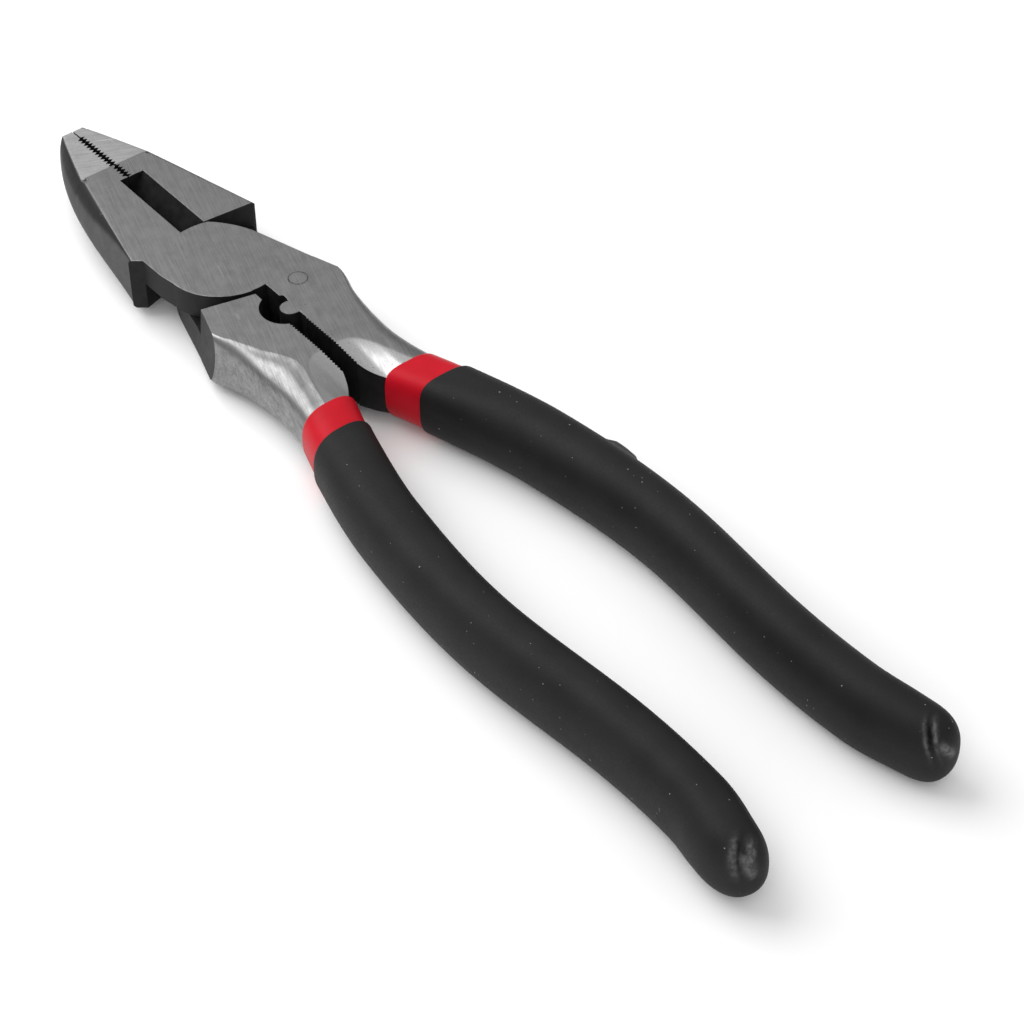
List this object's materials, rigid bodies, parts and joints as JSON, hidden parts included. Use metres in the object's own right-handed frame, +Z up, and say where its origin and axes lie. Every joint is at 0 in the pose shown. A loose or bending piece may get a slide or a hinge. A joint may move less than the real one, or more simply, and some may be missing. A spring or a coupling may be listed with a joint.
{
  "type": "lineman pliers",
  "caption": "Lineman pliers: lapped forged steel halves with tapered gripping nose, side cutters, crimper behind the pivot, and S-curved dipped handles in black over red",
  "frame": {"origin": "on the pivot axis, in the plane of the head's underside", "axes": "+X along the tool to the jaw tips, +Y to the side of the right half's jaw, +Z up along the pivot axis"},
  "size_m": [0.2401, 0.0547, 0.0168],
  "materials": {
    "forged_steel": "satin, ground faces over black oxide side walls",
    "rivet_steel": "satin, ground flush",
    "red_dip": "semi-gloss dipped vinyl",
    "black_dip": "matte dipped vinyl with a fine grain"
  },
  "bodies": {
    "right_half": {"right_forging": "forged_steel", "right_inner_dip": "red_dip", "right_outer_dip": "black_dip", "pivot_rivet": "rivet_steel"},
    "left_half": {"left_forging": "forged_steel", "left_inner_dip": "red_dip", "left_outer_dip": "black_dip"}
  },
  "joints": [
    {"name": "jaw_pivot", "type": "hinge", "parent": "right_half", "child": "left_half", "pos_m": [0, 0, 0.0061], "axis": [0, 0, -1], "range_deg": [0, 65]}
  ]
}
